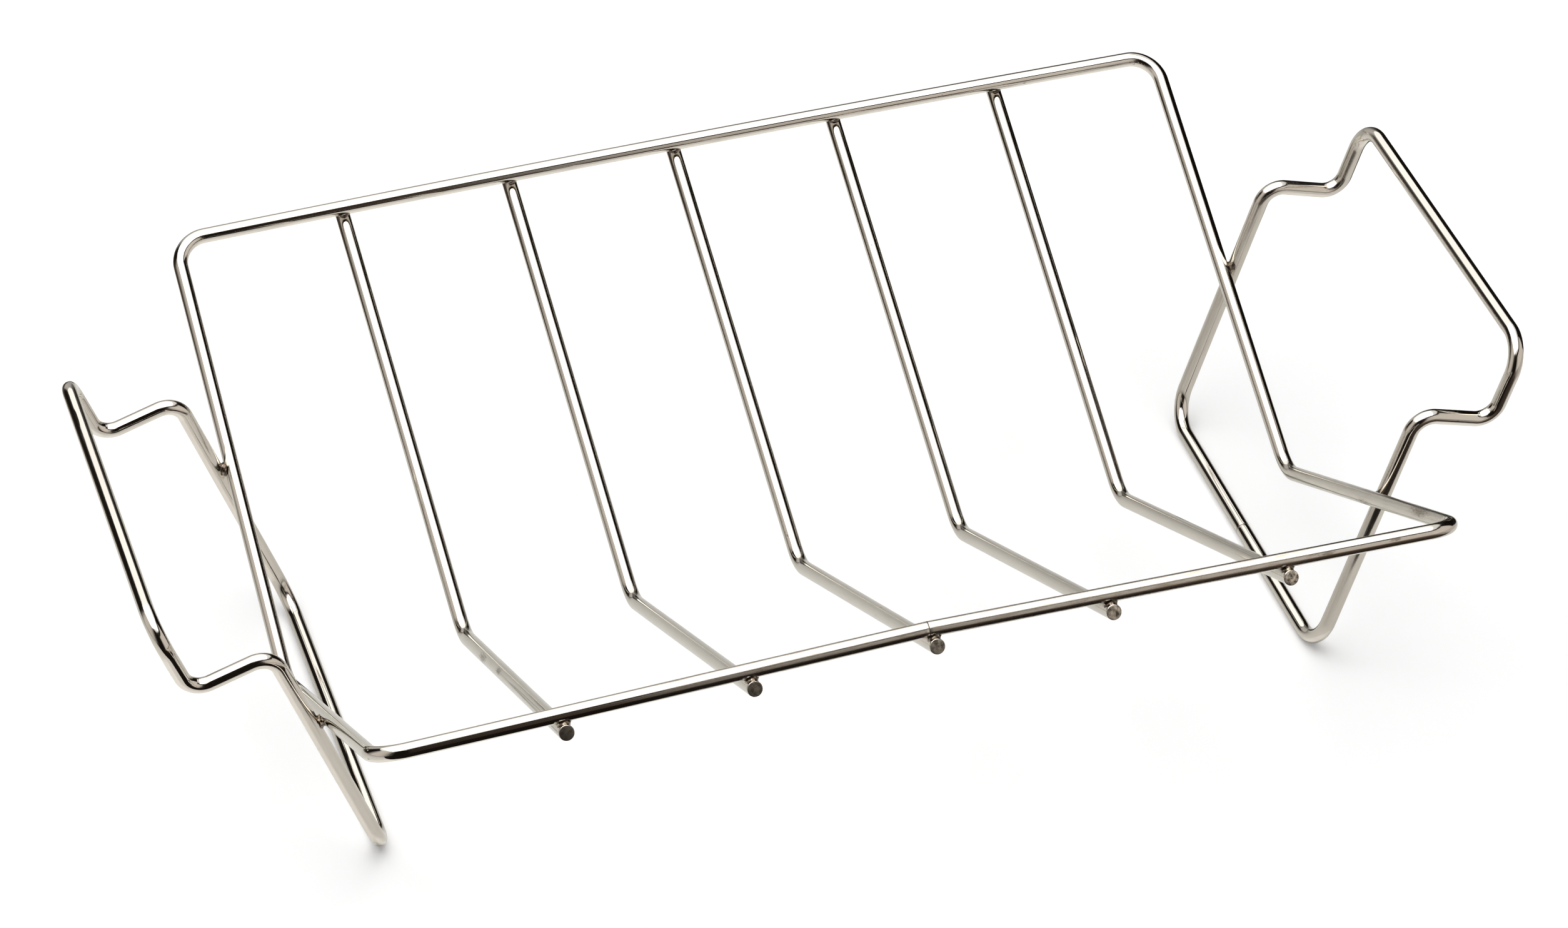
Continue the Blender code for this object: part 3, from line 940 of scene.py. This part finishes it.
def add_panels_and_sheets():
    material = glow_material()
    add_panel("right_panel", RIGHT_PANEL, material)
    add_panel("front_panel", FRONT_PANEL, material)
    add_panel("left_panel", LEFT_PANEL, material)
    add_panel("back_left_panel", BACK_LEFT_PANEL, material)
    add_panel("back_panel", BACK_PANEL, material)
    add_panel("black_panel", BLACK_PANEL, material)
    add_panel("gap_over_right_panel", GAP_OVER_RIGHT_PANEL, material, BEHIND_PANELS, GAP_LOW)
    add_panel("back_white", BACK_WHITE, material, BEHIND_PANELS, BACK_WHITE_LOW)
    add_sheet("front_sheet", FRONT_SHEET, INK, material)
    add_sheet("right_sheet", RIGHT_SHEET, WARM_WHITE, material)
    add_sheet("back_right_sheet", BACK_RIGHT_SHEET, INK, material)
    add_sheet("back_left_sheet", BACK_LEFT_SHEET, INK, material)


def add_softbox():
    size_x = SOFTBOX_X[1] - SOFTBOX_X[0]
    size_y = SOFTBOX_Y[1] - SOFTBOX_Y[0]
    lamp = bpy.data.lights.new("softbox", "AREA")
    lamp.shape = "RECTANGLE"
    lamp.size = size_x
    lamp.size_y = size_y
    lamp.energy = SOFTBOX_RADIANCE * pi * size_x * size_y
    softbox = new_object("softbox", lamp)
    softbox.location = (sum(SOFTBOX_X) / 2, sum(SOFTBOX_Y) / 2, SOFTBOX_HEIGHT)
    softbox.visible_camera = False


def is_seen(tree):
    """1 for what the camera sees, directly, in a mirror or through glass, and otherwise 0."""
    path = add_node(tree, "ShaderNodeLightPath")
    seen = math(tree, "MAXIMUM", path.outputs["Is Camera Ray"], path.outputs["Is Glossy Ray"])
    return math(tree, "MAXIMUM", seen, path.outputs["Is Transmission Ray"])


def add_floor():
    """The camera sees a white sheet, lifted near the object and white of itself far off, like the
    background. The wire mirrors the glossy table under it, which shows the panels again where it is
    seen at a low angle."""
    reach = FLOOR_REACH
    points = [(-reach, -reach, 0), (reach, -reach, 0), (reach, reach, 0), (-reach, reach, 0)]
    floor = new_object("floor", new_mesh("floor", points, [(0, 1, 2, 3)]))
    material, tree, sheet = new_material("white_sheet")
    sheet.inputs["Base Color"].default_value = (FLOOR_WHITE, FLOOR_WHITE, FLOOR_WHITE, 1)
    sheet.inputs["Roughness"].default_value = FLOOR_ROUGHNESS
    sheet.inputs["Specular IOR Level"].default_value = 0.0
    sheet.inputs["Emission Color"].default_value = (1, 1, 1, 1)
    distance = add_node(tree, "ShaderNodeVectorMath", operation="LENGTH")
    tree.links.new(add_node(tree, "ShaderNodeTexCoord").outputs["Object"], distance.inputs[0])
    lift = add_node(tree, "ShaderNodeMapRange")
    near, far = FLOOR_FADE
    for name, value in (("From Min", near), ("From Max", far), ("To Min", FLOOR_LIFT), ("To Max", 1)):
        lift.inputs[name].default_value = value
    tree.links.new(distance.outputs["Value"], lift.inputs["Value"])
    tree.links.new(lift.outputs["Result"], sheet.inputs["Emission Strength"])
    table = add_node(tree, "ShaderNodeBsdfPrincipled")
    table.inputs["Base Color"].default_value = (*TABLE_WHITE, 1)
    table.inputs["Roughness"].default_value = TABLE_ROUGHNESS
    table.inputs["IOR"].default_value = TABLE_IOR
    choice = add_node(tree, "ShaderNodeMixShader")
    tree.links.new(add_node(tree, "ShaderNodeLightPath").outputs["Is Camera Ray"], choice.inputs[0])
    tree.links.new(table.outputs[0], choice.inputs[1])
    tree.links.new(sheet.outputs[0], choice.inputs[2])
    tree.links.new(choice.outputs[0], tree.nodes["Material Output"].inputs["Surface"])
    floor.data.materials.append(material)


def add_world():
    """White where the camera or a reflection sees it, and a weaker fill on what it lights."""
    world = bpy.data.worlds.new("studio")
    bpy.context.scene.world = world
    world.use_nodes = True
    tree = world.node_tree
    background = tree.nodes["Background"]
    background.inputs["Color"].default_value = (1, 1, 1, 1)
    strength = math(tree, "MULTIPLY_ADD", is_seen(tree), 1 - FILL)
    strength.node.inputs[2].default_value = FILL
    tree.links.new(strength, background.inputs["Strength"])


def add_camera():
    data = bpy.data.cameras.new("camera")
    data.sensor_fit = "HORIZONTAL"
    data.sensor_width = CAMERA_SENSOR_MM
    data.lens = CAMERA_LENS_MM
    camera = new_object("camera", data)
    look = (CAMERA_TARGET - CAMERA_PLACE).to_track_quat("-Z", "Y")
    roll = Matrix.Rotation(CAMERA_ROLL, 4, "Z")
    camera.matrix_world = Matrix.Translation(CAMERA_PLACE) @ look.to_matrix().to_4x4() @ roll
    bpy.context.scene.camera = camera


def build_studio():
    add_softbox()
    add_panels_and_sheets()
    add_floor()
    add_world()
    add_camera()


build_basket()
build_studio()
bpy.context.scene.view_settings.view_transform = "Standard"
